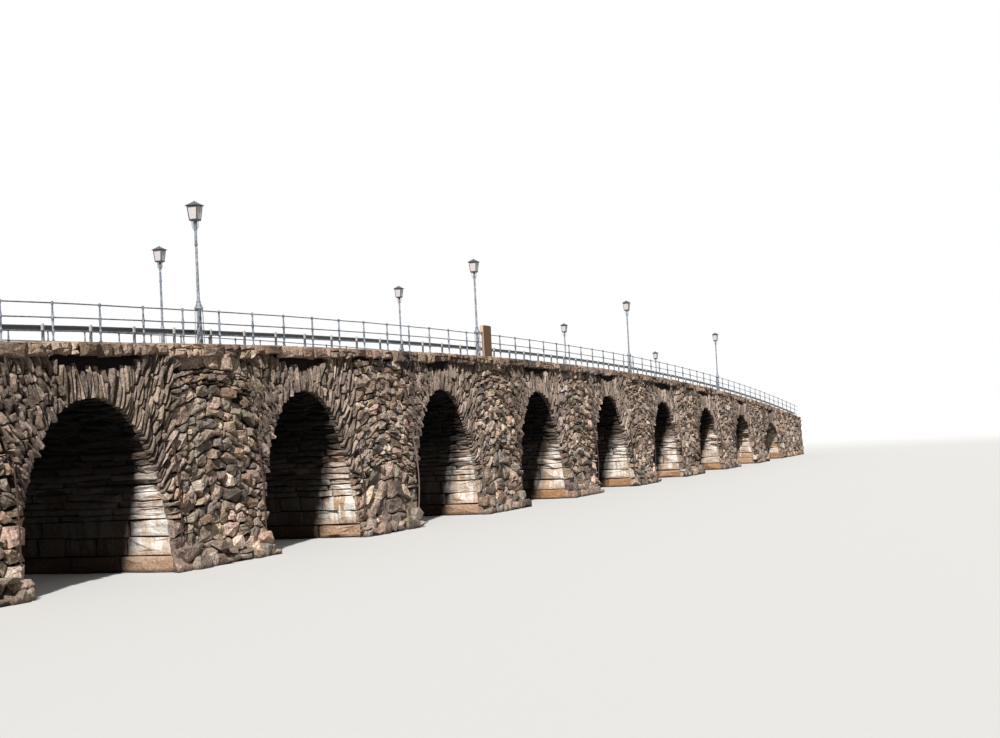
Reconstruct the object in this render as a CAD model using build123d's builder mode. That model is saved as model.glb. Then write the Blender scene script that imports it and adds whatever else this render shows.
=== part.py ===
from build123d import *
import os
from math import asin, atan, ceil, cos, degrees, floor, pi, radians, sin, sqrt

os.makedirs("parts", exist_ok=True)

# Stone arch river bridge as a 1:10 scale model, in millimetres of the model.
# X runs along the bridge, Y across it and Z up. The origin is at water level
# under the middle pier, where the roadway is highest.

# Layout along the river crossing
bay = 1400
arch_count = 12
abutment_reach = 1800

# Rise of the roadway, a shallow arc over the whole length
crest_height = 780
road_radius = 117750
chords_per_bay = 2

# Vaults: three-centred arches that spring just above the water, whose side arcs
# turn by the haunch turn, in degrees, before the crown arc takes over
span = 780
haunch_turn = 40
spring_height = 50
crown_cover = 170
ring_depth = 105
springer_height = 200
ring_runs = 8

# Side walls, which lean inwards as they rise
base_half_width = 487
batter = 0.045

# Rubble toe along each pier
toe_reach = 45
toe_edge = 15
toe_height = 75

# Coping slabs and the road surface between them
coping_half_width = 477
coping_width = 88
coping_thickness = 34
road_drop = 8

# Cast-iron railing: three rails through posts
post_pitch = 240
post_shift = -60
post_line = 439
rail_heights = (31, 71, 113)
rail_size = 4.5
post_size = 8
post_height = 119

# Low guard beam inside the railing, behind the short posts that carry it
guard_line = 395.5
guard_bottom = 36
guard_depth = 15
guard_thickness = 8
guard_post_size = 7
guard_post_height = 56

# Lamp posts, whose places are counted in bays from the middle of the bridge, and
# whose radii are those of the flats of their eight sides
front_lamp_bays = (-4, -2, -0.07, 2, 4)
back_lamp_bays = (-3.2, -1.2, 0.63, 2.89, 4.89)
lamp_line = 418.5
lamp_base_radius = 11.5
lamp_base_head = 8.5
lamp_base_height = 121
lamp_collar_radius = 15
lamp_collar_height = 6
lamp_neck_radius = 11
lamp_neck_height = 16
lamp_shaft_radius = 5.2
lamp_shaft_head = 4.2
lamp_shaft_height = 424
lantern_foot = 30
lantern_head = 40
lantern_height = 49
lantern_bar = 3
lantern_plate = 3
pane_clearance = 0.2
roof_overhang = 4
roof_height = 15
finial_radius = 2.5
finial_height = 3

# Memorial slab on the coping at the crest
slab_x = -45
slab_width = 117
slab_thickness = 19
slab_height = 156

# Wrought-iron rods on the pier faces, beside the arrises
rod_size = 5
rod_bottom = 80
rod_length = 320
rod_inset = 25
rod_clearance = 0.1

# Depth under the coping's top at which the feet on it start, before it trims them
foot_depth = 10

# Sizes worked out from the ones above
bridge_end = abutment_reach + (arch_count - 1) * bay / 2
arch_x = [(n - (arch_count - 1) / 2) * bay for n in range(arch_count)]
pier_x = [(n - arch_count / 2 + 1) * bay for n in range(arch_count - 1)]
sides = {"front": -1, "back": 1}
rail_line = post_line - (post_size + rail_size) / 2
slab_line = post_line - (post_size - slab_thickness) / 2


def arc_height(x):
    """Height of the roadway's arc at a place along the bridge."""
    return crest_height - road_radius + sqrt(road_radius**2 - x**2)


def road_height(x):
    """Height of the coping's top, which runs in straight chords under the arc."""
    chord = bay / chords_per_bay
    start = chord * floor(x / chord)
    share = (x - start) / chord
    return (1 - share) * arc_height(start) + share * arc_height(start + chord)


def face_line(z):
    """Distance of the side wall from the middle of the bridge at a height."""
    return base_half_width - batter * z


def crown_rise(x):
    """Rise of a vault from its springing line to its crown."""
    return road_height(x) - crown_cover - spring_height


def road_band(start, end, bottom, top):
    """Outline of a band that follows the roadway, between two heights over it."""
    chord = bay / chords_per_bay
    turns = [n * chord for n in range(floor(start / chord) + 1, ceil(end / chord))]
    line = [(x, road_height(x)) for x in (start, *turns, end)]
    with BuildSketch() as band:
        with BuildLine():
            Polyline(
                *[(x, z + bottom) for x, z in line],
                *[(x, z + top) for x, z in reversed(line)],
                close=True,
            )
        make_face()
    return band.sketch


def opening_outline(x):
    """Elevation of the passage under a vault, from its three arcs down to the water."""
    half_span = span / 2
    rise = crown_rise(x)
    turn = radians(haunch_turn)
    spread = sin(turn) + cos(turn) - 1
    side_radius = (rise * cos(turn) - half_span * (1 - sin(turn))) / spread
    crown_radius = (half_span * sin(turn) - rise * (1 - cos(turn))) / spread
    side_centre = half_span - side_radius
    crown_centre = spring_height + rise - crown_radius
    with BuildSketch() as opening:
        with BuildLine():
            right = CenterArc((x + side_centre, spring_height), side_radius, 0, haunch_turn)
            CenterArc((x, crown_centre), crown_radius, haunch_turn, 180 - 2 * haunch_turn)
            left = CenterArc((x - side_centre, spring_height), side_radius, 180 - haunch_turn, haunch_turn)
            Polyline(left @ 1, (x - half_span, -spring_height), (x + half_span, -spring_height), right @ 0)
        make_face()
    return opening.sketch


def ring_outline(x):
    """Elevation of the voussoir ring, from springer to springer."""
    back_half_span = span / 2 + ring_depth
    back_rise = crown_rise(x) + ring_depth
    springer = asin((springer_height - spring_height) / back_rise)
    turns = [springer + (pi - 2 * springer) * n / ring_runs for n in range(ring_runs + 1)]
    back = [(x + back_half_span * cos(turn), spring_height + back_rise * sin(turn)) for turn in turns]
    with BuildSketch() as ring:
        with BuildLine():
            Polyline(*back, close=True)
        make_face()
        add(opening_outline(x), mode=Mode.SUBTRACT)
    return ring.sketch


def wall_outline(start, end, vaults):
    """Elevation of a stretch of wall under the coping, less the vaults beside it."""
    with BuildSketch() as wall:
        add(road_band(start, end, -crest_height, -coping_thickness))
        with Locations((0, 0)):
            Rectangle(4 * bridge_end, 4 * crest_height, align=(Align.CENTER, Align.MAX), mode=Mode.SUBTRACT)
        for x in vaults:
            add(ring_outline(x), mode=Mode.SUBTRACT)
            add(opening_outline(x), mode=Mode.SUBTRACT)
    return wall.sketch


def section_outline(toe):
    """Cross-section of the masonry, with or without the rubble toe."""
    right = [(face_line(2 * crest_height), 2 * crest_height)]
    if toe:
        right += [(face_line(toe_height), toe_height)]
        right += [(base_half_width + toe_reach, toe_edge), (base_half_width + toe_reach, 0)]
    else:
        right += [(base_half_width, 0)]
    left = [(-y, z) for y, z in reversed(right)]
    with BuildSketch() as section:
        with BuildLine():
            Polyline(*right, *left, close=True)
        make_face()
    return section.sketch


def coping_band(hand):
    """Solid of one edge's coping, which also trims the feet of what stands on it."""
    with BuildPart() as band:
        with BuildSketch(Plane.XZ.offset(-hand * (coping_half_width - coping_width / 2))):
            add(road_band(-bridge_end, bridge_end, -coping_thickness, 0))
        extrude(amount=coping_width / 2, both=True)
    return band.part


def save(part, name):
    """Label a finished piece and write its file."""
    part.label = name
    export_step(part, f"parts/{name}.step")


# Voussoir rings, one barrel of radial stones for each arch
for number, x in enumerate(arch_x, start=1):
    with BuildPart() as arch:
        with BuildSketch(Plane.XZ):
            add(ring_outline(x))
        extrude(amount=2 * base_half_width, both=True)
        with BuildSketch(Plane.YZ.offset(x - bay)):
            add(section_outline(toe=False))
        extrude(amount=2 * bay, mode=Mode.INTERSECT)
    save(arch.part, f"arch_{number:02d}")

# Piers with their jambs, spandrels and rubble toes
for number, x in enumerate(pier_x, start=1):
    with BuildPart() as pier:
        with BuildSketch(Plane.XZ):
            add(wall_outline(x - bay / 2, x + bay / 2, (x - bay / 2, x + bay / 2)))
        extrude(amount=2 * base_half_width, both=True)
        with BuildSketch(Plane.YZ.offset(x - bay)):
            add(section_outline(toe=True))
        extrude(amount=2 * bay, mode=Mode.INTERSECT)
    save(pier.part, f"pier_{number:02d}")

# Abutments, the walls beyond the outermost arches
for name, hand, x in (("left", -1, arch_x[0]), ("right", 1, arch_x[-1])):
    with BuildPart() as abutment:
        with BuildSketch(Plane.XZ):
            add(wall_outline(*sorted((x, x + hand * abutment_reach)), (x,)))
        extrude(amount=2 * base_half_width, both=True)
        with BuildSketch(Plane.YZ.offset(x - 2 * abutment_reach)):
            add(section_outline(toe=False))
        extrude(amount=4 * abutment_reach, mode=Mode.INTERSECT)
    save(abutment.part, f"abutment_{name}")

# Road surface between the copings
with BuildPart() as roadway:
    with BuildSketch(Plane.XZ):
        add(road_band(-bridge_end, bridge_end, -coping_thickness, -road_drop))
    extrude(amount=coping_half_width - coping_width, both=True)
save(roadway.part, "roadway")

# Copings along both edges
copings = {side: coping_band(hand) for side, hand in sides.items()}
for side in sides:
    save(copings[side], f"coping_{side}")

# Memorial slab at the crest
with BuildPart() as slab:
    with BuildSketch(Plane((slab_x, -slab_line, road_height(slab_x) - foot_depth))):
        Rectangle(slab_width, slab_thickness)
    extrude(amount=foot_depth + slab_height)
    add(copings["front"], mode=Mode.SUBTRACT)
save(slab.part, "memorial_slab")

# Railing posts, which stand on the copings and leave room for the memorial slab
first_post = ceil((post_size - bridge_end - post_shift) / post_pitch)
last_post = floor((bridge_end - post_size - post_shift) / post_pitch)
post_x = [n * post_pitch + post_shift for n in range(first_post, last_post + 1)]
for side, hand in sides.items():
    places = post_x
    if side == "front":
        places = [x for x in post_x if abs(x - slab_x) > (slab_width + post_size) / 2]
    feet = [Plane((x, hand * post_line, road_height(x) - foot_depth)) for x in places]
    with BuildPart() as posts:
        with BuildSketch(*feet):
            RegularPolygon(post_size / 2, 6, major_radius=False)
        extrude(amount=foot_depth + post_height)
        add(copings[side], mode=Mode.SUBTRACT)
    save(posts.part, f"railing_posts_{side}")

# Rails, held by the inner faces of the posts and of the memorial slab
for side, hand in sides.items():
    with BuildPart() as rails:
        with BuildSketch(Plane.XZ.offset(-hand * rail_line)):
            for height in rail_heights:
                add(road_band(-bridge_end, bridge_end, height - rail_size / 2, height + rail_size / 2))
        extrude(amount=rail_size / 2, both=True)
    save(rails.part, f"rails_{side}")

# Guard beams and the short posts that hold them, inside the railings
for side, hand in sides.items():
    with BuildPart() as beam:
        with BuildSketch(Plane.XZ.offset(-hand * guard_line)):
            add(road_band(-bridge_end, bridge_end, guard_bottom, guard_bottom + guard_depth))
        extrude(amount=guard_thickness / 2, both=True)
    save(beam.part, f"guard_beam_{side}")
    guard_post_line = guard_line + (guard_thickness + guard_post_size) / 2
    feet = [Plane((x, hand * guard_post_line, road_height(x) - foot_depth)) for x in post_x]
    with BuildPart() as guard_posts:
        with BuildSketch(*feet):
            Rectangle(guard_post_size, guard_post_size)
        extrude(amount=foot_depth + guard_post_height)
        add(copings[side], mode=Mode.SUBTRACT)
    save(guard_posts.part, f"guard_posts_{side}")

# Lamp posts with their lantern frames, and the panes. Each column is a tapering base,
# a collar, a neck and a tapering shaft, given by their start, end and two radii
collar_top = lamp_base_height + lamp_collar_height
neck_top = collar_top + lamp_neck_height
column = (
    (-foot_depth, lamp_base_height, lamp_base_radius, lamp_base_head),
    (lamp_base_height, collar_top, lamp_collar_radius, lamp_collar_radius),
    (collar_top, neck_top, lamp_neck_radius, lamp_shaft_radius),
    (neck_top, lamp_shaft_height, lamp_shaft_radius, lamp_shaft_head),
)
pane_inset = lantern_bar + pane_clearance
lantern_lean = (lantern_head - lantern_foot) / 2
bar_place = (lantern_foot - lantern_bar) / 2
bar_length = sqrt(lantern_height**2 + 2 * lantern_lean**2)
eaves = lantern_head + 2 * roof_overhang
roof_taper = degrees(atan((eaves / 2 - finial_radius) / roof_height))
pane_taper = degrees(atan(lantern_lean / lantern_height))
for side, hand in sides.items():
    lamp_bays = front_lamp_bays if side == "front" else back_lamp_bays
    lamp_places = [share * bay for share in lamp_bays]
    with BuildPart() as lamps:
        for x in lamp_places:
            foot = Plane((x, hand * lamp_line, road_height(x)))
            for start, end, low_radius, high_radius in column:
                with BuildSketch(foot.offset(start)):
                    RegularPolygon(low_radius, 8, major_radius=False, rotation=22.5)
                extrude(amount=end - start, taper=degrees(atan((low_radius - high_radius) / (end - start))))
            with BuildSketch(foot.offset(lamp_shaft_height)):
                Rectangle(lantern_foot, lantern_foot)
            extrude(amount=lantern_plate)
            lantern = foot.offset(lamp_shaft_height + lantern_plate)
            for side_x in (-1, 1):
                for side_y in (-1, 1):
                    with BuildSketch(lantern):
                        with Locations((side_x * bar_place, side_y * bar_place)):
                            Rectangle(lantern_bar, lantern_bar)
                    lean = (side_x * lantern_lean, side_y * lantern_lean, lantern_height)
                    extrude(amount=bar_length, dir=lean)
            with BuildSketch(lantern.offset(lantern_height)):
                Rectangle(eaves, eaves)
            extrude(amount=roof_height, taper=roof_taper)
            with BuildSketch(lantern.offset(lantern_height + roof_height)):
                RegularPolygon(finial_radius, 6)
            extrude(amount=finial_height)
        add(copings[side], mode=Mode.SUBTRACT)
    save(lamps.part, f"lamp_posts_{side}")
    with BuildPart() as panes:
        for x in lamp_places:
            head = road_height(x) + lamp_shaft_height + lantern_plate + lantern_height
            with BuildSketch(Plane((x, hand * lamp_line, head), z_dir=(0, 0, -1))):
                Rectangle(lantern_head - 2 * pane_inset, lantern_head - 2 * pane_inset)
            extrude(amount=lantern_height, taper=pane_taper)
    save(panes.part, f"lantern_panes_{side}")

# Rods on the pier faces
for side, hand in sides.items():
    with BuildPart() as rods:
        for x in pier_x:
            for edge in (-1, 1):
                rod_x = x + edge * ((bay - span) / 2 - rod_inset)
                rod_y = hand * (face_line(rod_bottom) + rod_size / 2 + rod_clearance)
                foot = Plane((rod_x, rod_y, rod_bottom), x_dir=(1, 0, 0), z_dir=(0, -hand * batter, 1))
                with BuildSketch(foot):
                    Rectangle(rod_size, rod_size)
                extrude(amount=rod_length)
    save(rods.part, f"iron_rods_{side}")
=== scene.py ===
import math
import random

import bmesh
import bpy
from mathutils import Matrix, Vector


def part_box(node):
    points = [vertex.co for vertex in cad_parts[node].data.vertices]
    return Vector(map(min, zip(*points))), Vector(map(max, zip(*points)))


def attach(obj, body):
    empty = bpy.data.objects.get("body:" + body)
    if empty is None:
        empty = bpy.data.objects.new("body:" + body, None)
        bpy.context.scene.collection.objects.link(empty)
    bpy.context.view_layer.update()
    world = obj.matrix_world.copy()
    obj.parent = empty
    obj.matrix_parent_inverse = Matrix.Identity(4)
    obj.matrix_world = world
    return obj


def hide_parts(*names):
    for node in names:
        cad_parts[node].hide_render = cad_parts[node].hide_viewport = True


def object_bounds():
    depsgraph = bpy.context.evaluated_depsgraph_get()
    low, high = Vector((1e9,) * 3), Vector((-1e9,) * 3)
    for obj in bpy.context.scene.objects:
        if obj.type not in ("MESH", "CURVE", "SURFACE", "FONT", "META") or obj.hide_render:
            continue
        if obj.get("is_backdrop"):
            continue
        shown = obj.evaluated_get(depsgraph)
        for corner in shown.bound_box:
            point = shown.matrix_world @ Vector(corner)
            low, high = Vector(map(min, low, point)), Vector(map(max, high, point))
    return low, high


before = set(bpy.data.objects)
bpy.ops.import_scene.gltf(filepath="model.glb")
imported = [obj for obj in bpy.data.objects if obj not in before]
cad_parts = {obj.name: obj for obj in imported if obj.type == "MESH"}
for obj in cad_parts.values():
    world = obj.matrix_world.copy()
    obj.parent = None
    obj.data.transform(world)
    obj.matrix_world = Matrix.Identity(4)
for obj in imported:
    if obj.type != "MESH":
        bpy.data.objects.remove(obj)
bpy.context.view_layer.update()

# Camera: in front of the bridge and left of its middle, a little under the roadway's
# height, looking along the wall towards the right end. Its place and turns come from
# the arches, arrises, posts and lamps that the photograph shows.
camera_place = Vector((-7.556, -3.209, 0.399))
camera_turn = math.radians(19.75)
camera_pitch = math.radians(2.25)
camera_roll = math.radians(-2.8)
camera_lens = 57.18
ahead = Vector((
    math.cos(camera_turn) * math.cos(camera_pitch),
    math.sin(camera_turn) * math.cos(camera_pitch),
    math.sin(camera_pitch),
))
level_right = Vector((math.sin(camera_turn), -math.cos(camera_turn), 0))
level_up = level_right.cross(ahead)
camera_right = level_right * math.cos(camera_roll) + level_up * math.sin(camera_roll)
camera_up = level_up * math.cos(camera_roll) - level_right * math.sin(camera_roll)
camera_data = bpy.data.cameras.new("camera")
camera_data.lens = camera_lens
camera_data.clip_end = 500
camera = bpy.data.objects.new("camera", camera_data)
camera.matrix_world = Matrix.Translation(camera_place) @ Matrix(
    (camera_right, camera_up, -ahead)
).transposed().to_4x4()
bpy.context.scene.collection.objects.link(camera)
bpy.context.scene.camera = camera

# Walls of the bridge: split rubble with open dark joints, laid in courses that rise
# like tents over each pier. Long thin slabs set on edge fan out over every vault,
# squared stones line the jambs, and the biggest blocks lie at the foot of the piers.
bay = 1.4
chord = bay / 2
span = 0.78
crest_height = 0.78
road_radius = 117.75
haunch_turn = math.radians(40)
spring_height = 0.05
ring_depth = 0.105
base_half_width = 0.487
batter = 0.045
coping_thickness = 0.034
sides = {"front": -1, "back": 1}


def arc_height(x):
    """Height of the roadway's shallow arc."""
    return crest_height - road_radius + math.sqrt(road_radius**2 - x**2)


def road_height(x):
    """Height of the coping's top, which runs in straight chords under the arc."""
    start = chord * math.floor(x / chord)
    share = (x - start) / chord
    return (1 - share) * arc_height(start) + share * arc_height(start + chord)


def wall_top(x):
    """Height of the underside of the coping."""
    return road_height(x) - coping_thickness


def face_line(z):
    """Distance of the wall's face from the middle of the bridge."""
    return base_half_width - batter * z


class Vault:
    """A three-centred vault, set out from the box of its CAD node, and the gap over it."""

    def __init__(self, node):
        low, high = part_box(node)
        self.node = node
        self.x = (low.x + high.x) / 2
        self.crown = high.z - ring_depth
        half, rise = span / 2, self.crown - spring_height
        c, s = math.cos(haunch_turn), math.sin(haunch_turn)
        self.side_radius = (rise * c - half * (1 - s)) / (s + c - 1)
        self.crown_radius = (half * s - rise * (1 - c)) / (s + c - 1)
        self.haunch = spring_height + self.side_radius * s
        draw = random.Random(f"recess {node}")
        self.recess_middle = self.x + draw.uniform(-0.05, 0.05)
        self.recess_half = draw.uniform(0.20, 0.36)

    def half_width(self, z):
        """Half the width of the opening at a height, or 0 over the crown."""
        if z <= spring_height:
            return span / 2
        if z <= self.haunch:
            return span / 2 - self.side_radius + math.sqrt(self.side_radius**2 - (z - spring_height) ** 2)
        reach = self.crown_radius**2 - (z - self.crown + self.crown_radius) ** 2
        return math.sqrt(reach) if reach > 0 else 0

    def inside(self, x, z, margin=0.0):
        """Whether a point lies in the opening, or within a margin of it."""
        return abs(x - self.x) < self.half_width(max(z - margin, 0)) + margin

    def edge(self, x, z):
        """The point of the vault's line beside a point of the wall, with its normal."""
        hand = 1 if x > self.x else -1
        if z <= spring_height:
            return (self.x + hand * span / 2, z), (hand, 0)
        centre_x, centre_z, radius = self.x, self.crown - self.crown_radius, self.crown_radius
        turn = math.atan2(z - centre_z, abs(x - self.x))
        if turn < haunch_turn:
            centre_x, centre_z = self.x + hand * (span / 2 - self.side_radius), spring_height
            radius = self.side_radius
        away = Vector((x - centre_x, z - centre_z)).normalized()
        return (centre_x + away.x * radius, centre_z + away.y * radius), (away.x, away.y)


vaults = [Vault(name) for name in sorted(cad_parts) if name.startswith("arch_")]
vault_reach = 0.75
pier_nodes = [name for name in sorted(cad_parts) if name.startswith("pier_")]
pier_places = {name: (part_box(name)[0].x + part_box(name)[1].x) / 2 for name in pier_nodes}
wall_nodes = ["abutment_left", *pier_nodes, "abutment_right"]
bridge_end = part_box("abutment_right")[1].x
end_margin = 0.012

fan_focus = -0.07
fan_turn, left_fan_turn = math.radians(58), -0.2
fan_spacing = 0.0168
fan_length, left_fan_length = 0.078, 0.0468
least_fan_length = 0.03
fan_foot = 0.255
fan_half, fan_flare, flare_height = 0.405, 0.16, 0.3
recess_reach, recess_least, recess_most = 0.38, 0.012, 0.062
search_pace = 0.004
jamb_top = 0.315
block_top = 0.16
plinth_height = 0.054


class Site:
    """A stone's place in the wall, its half sizes along and across its bed, and the bed's slope."""

    def __init__(self, x, z, length, height, slope, owner):
        self.x, self.z = x, z
        self.length, self.height = length, height
        c, s = math.cos(slope), math.sin(slope)
        self.axis = (c, s)
        long, tall = 1 / length**2, 1 / height**2
        self.metric = (c * c * long + s * s * tall, c * s * (long - tall), s * s * long + c * c * tall)
        self.owner = owner


def fan_limit(z):
    """Distance from a vault's middle at which its fan gives way to the rubble."""
    return fan_half + fan_flare * (z - flare_height)


def recess(x, vault):
    """Height left open under the coping over a vault, where the small stones are missing."""
    if abs(x - vault.x) > recess_reach:
        return 0
    away = (x - vault.recess_middle) / vault.recess_half
    return max(recess_least, recess_most * (1 - abs(away) ** 2.5))


def fan_sites(vault, draw):
    """Sites of the slabs on edge that fan out over a vault."""
    sites = []
    height = vault.crown - fan_focus
    turns = int(fan_turn * height / fan_spacing)
    for number in range(-turns, turns + 1):
        turn = (number + draw.uniform(-0.25, 0.25)) * fan_spacing / height
        across, up = math.sin(turn), math.cos(turn)
        start = 0.1
        while vault.inside(vault.x + across * start, fan_focus + up * start):
            start += search_pace
        lack = draw.uniform(0.85, 1.2)
        stop = start
        while True:
            x, z = vault.x + across * stop, fan_focus + up * stop
            if z > wall_top(x) - recess(x, vault) * lack or abs(x - vault.x) > fan_limit(z) or stop > 2:
                break
            stop += search_pace
        reach = stop - start
        if fan_focus + up * start < fan_foot or reach < least_fan_length:
            continue
        length = left_fan_length if turn < left_fan_turn else fan_length
        pieces = max(1, round(reach / length + draw.uniform(-0.5, 0.5)))
        cuts = [start + reach * (n + (draw.uniform(-0.35, 0.35) if 0 < n < pieces else 0)) / pieces
                for n in range(pieces + 1)]
        for low, high in zip(cuts, cuts[1:]):
            middle = (low + high) / 2
            room = fan_spacing * middle / height
            # two slabs side by side where the fan has spread
            beside = (-0.25, 0.25) if room > 1.3 * fan_spacing else (0.0,)
            for share in beside:
                aside = share * room
                slip = draw.uniform(-0.2, 0.2) * (high - low) if share else 0
                sites.append(Site(
                    vault.x + across * (middle + slip) + up * aside,
                    fan_focus + up * (middle + slip) - across * aside,
                    (high - low) / 2, room / len(beside) / 2 * draw.uniform(0.75, 1.3),
                    math.pi / 2 - turn + draw.uniform(-0.05, 0.05), vault.node,
                ))
    return sites


def jamb_levels(vault, hand):
    """Heights of the beds of a jamb, from its plinth course over blocks to thin beds."""
    draw = random.Random(f"jamb {vault.node} {hand}")
    levels = [0.0, plinth_height]
    while levels[-1] < jamb_top - 0.02:
        bed = draw.uniform(0.019, 0.029) if levels[-1] > block_top else draw.uniform(0.046, 0.064)
        levels.append(levels[-1] + bed)
    return levels


def quoin_sites(vault, hand, owner, draw):
    """Sites of the squared stones along the arris of a jamb, in the same beds as it."""
    sites = []
    levels = jamb_levels(vault, hand)
    for low, high in zip(levels, levels[1:]):
        length, z = draw.uniform(0.045, 0.115), (low + high) / 2
        if z > fan_foot:
            break
        x = vault.x + hand * (vault.half_width(z) + length / 2)
        sites.append(Site(x, z, length / 2, (high - low) / 2, draw.gauss(0, 0.03), owner))
    return sites


tent_slope = 0.5
tent_round = 0.12
tent_foot, tent_head, least_ease = 0.3, 0.22, 0.1
over_top = 0.15
low_top = 0.27
low_courses = (0.030, 0.046, 0.062, 0.078)
high_courses = (0.014, 0.018, 0.025, 0.030, 0.036, 0.042, 0.050)
thin_course = 0.02
thin_shape, low_shape, high_shape = (1.8, 4.0), (0.7, 1.9), (0.8, 2.6)
chip_share = 0.3


def rubble_sites(owner, middle, low_x, high_x, top, tented, free, draw):
    """Sites of the coursed rubble between two places, wherever the wall is free for it."""
    sites = []
    level = 0.0
    while level < top + over_top:
        low_down = level < low_top
        height = draw.choice(low_courses if low_down else high_courses)
        shape = thin_shape if height < thin_course else low_shape if low_down else high_shape
        ease = min(1, level / tent_foot) * min(1, max(least_ease, (top - level) / tent_head)) if tented else 0
        x = low_x - draw.uniform(0, 0.05)
        while x < high_x:
            length = height * draw.uniform(*shape)
            x += length / 2
            away = x - middle
            drop = tent_slope * (math.hypot(away, tent_round) - tent_round) * ease
            slope = -tent_slope * away / math.hypot(away, tent_round) * ease
            z = level + height / 2 - drop + draw.uniform(-0.13, 0.13) * height
            if low_x <= x <= high_x and free(x, z):
                sites.append(Site(
                    x, z, length / 2, height / 2 * draw.uniform(0.78, 1.22),
                    slope + draw.gauss(0, 0.16 if low_down else 0.09), owner,
                ))
                if draw.random() < chip_share:
                    chip = height * draw.uniform(0.14, 0.26)
                    sites.append(Site(
                        x + length / 2, z + draw.choice((-0.5, 0.5)) * height, chip * 1.4, chip, slope, owner,
                    ))
            x += length / 2
        level += height * 0.97
    return sites


foot_room, top_room, site_room, quoin_room = 0.004, 0.006, 0.012, 0.05


def free_wall(x, z):
    """Whether a place of a side wall is left to the rubble by the vaults, fans and jambs."""
    if not foot_room < z < wall_top(x) - top_room:
        return False
    for vault in vaults:
        away = abs(x - vault.x)
        if away > vault_reach:
            continue
        if vault.inside(x, z, site_room) or (z < fan_foot and away < vault.half_width(z) + quoin_room):
            return False
        if away < fan_limit(z) - site_room and z > fan_foot:
            return False
    return True


def clip(outline, px, pz, nx, nz):
    """The part of an outline behind a line through a point, with the line's normal."""
    kept = []
    ax, az = outline[-1]
    a = (ax - px) * nx + (az - pz) * nz
    for bx, bz in outline:
        b = (bx - px) * nx + (bz - pz) * nz
        if (a <= 0) != (b <= 0):
            share = a / (a - b)
            kept.append((ax + (bx - ax) * share, az + (bz - az) * share))
        if b <= 0:
            kept.append((bx, bz))
        ax, az, a = bx, bz, b
    return kept


joint_widths = (0.0005, 0.0034)
fan_openness, rubble_openness = 1.45, 0.9
search_step = 0.12
nearest, farthest = 1e-6, 0.2


def grow_stones(sites, limits, long_growth=1.35, tall_growth=1.6):
    """Outline of each site's stone, grown until it meets its neighbours across a joint or a limit."""
    squares = {}
    for site in sites:
        squares.setdefault((int(site.x // search_step), int(site.z // search_step)), []).append(site)
    draw = random.Random(len(sites))
    grown = []
    for site in sites:
        openness = fan_openness if site.owner.startswith("arch") else rubble_openness
        c, s = site.axis
        long, tall = site.length * long_growth, site.height * tall_growth
        outline = [
            (site.x + c * u - s * v, site.z + s * u + c * v)
            for u, v in ((-long, -tall), (long, -tall), (long, tall), (-long, tall))
        ]
        column, row = int(site.x // search_step), int(site.z // search_step)
        near = []
        for i in (-1, 0, 1):
            for j in (-1, 0, 1):
                near += squares.get((column + i, row + j), [])
        a, b, d = site.metric
        for other in near:
            dx, dz = other.x - site.x, other.z - site.z
            if not nearest <= math.hypot(dx, dz) <= farthest:
                continue
            e, f, g = other.metric
            nx, nz = (a + e) * dx + (b + f) * dz, (b + f) * dx + (d + g) * dz
            own = 1 / math.sqrt(a * dx * dx + 2 * b * dx * dz + d * dz * dz)
            theirs = 1 / math.sqrt(e * dx * dx + 2 * f * dx * dz + g * dz * dz)
            share = own / (own + theirs)
            size = math.hypot(nx, nz)
            nx, nz = nx / size, nz / size
            gap = draw.uniform(*joint_widths) * (0.6 + 0.9 * abs(c * nz - s * nx)) * openness
            outline = clip(outline, site.x + dx * share - nx * gap, site.z + dz * share - nz * gap, nx, nz)
            if len(outline) < 3:
                break
        for (px, pz), (nx, nz) in limits(site):
            if len(outline) > 2:
                outline = clip(outline, px, pz, nx, nz)
        if len(outline) > 2:
            grown.append((site, outline))
    return grown


limit_gap = 0.001
corner_room = 0.003


def wall_limits(site):
    """Lines that bound a stone of a side wall, each with its normal."""
    lines = [((0, limit_gap), (0, -1)), ((0, wall_top(site.x) - limit_gap), (0, 1))]
    lines += [((end * (bridge_end - end_margin), 0), (end, 0)) for end in (-1, 1)]
    for vault in vaults:
        if abs(vault.x - site.x) < vault_reach:
            (px, pz), (nx, nz) = vault.edge(site.x, site.z)
            lines.append(((px + nx * limit_gap, pz + nz * limit_gap), (-nx, -nz)))
    return lines


def end_limits(site):
    """Lines that bound a stone of an end wall, each with its normal."""
    lines = [((0, limit_gap), (0, -1)), ((0, wall_top(bridge_end) - limit_gap), (0, 1))]
    lines += [((hand * (base_half_width - corner_room), 0), (hand, batter)) for hand in (-1, 1)]
    return lines


def spread_of(outline):
    """Middle and area of an outline."""
    area = middle_x = middle_z = 0.0
    ax, az = outline[-1]
    for bx, bz in outline:
        cross = ax * bz - bx * az
        area += cross
        middle_x += (ax + bx) * cross
        middle_z += (az + bz) * cross
        ax, az = bx, bz
    if abs(area) < 1e-12:
        return ax, az, 0.0
    return middle_x / (3 * area), middle_z / (3 * area), area / 2


def srgb(text):
    """Linear colour of an sRGB hex value."""
    parts = [int(text[i:i + 2], 16) / 255 for i in (1, 3, 5)]
    linear = [p / 12.92 if p <= 0.04045 else ((p + 0.055) / 1.055) ** 2.4 for p in parts]
    return (*linear, 1.0)


def grey(value):
    """A grey that lightens or darkens a material's own colour."""
    return (value, value, value, 1.0)


def toned(colour, value):
    """A colour made lighter or darker."""
    return (colour[0] * value, colour[1] * value, colour[2] * value, 1.0)


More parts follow.
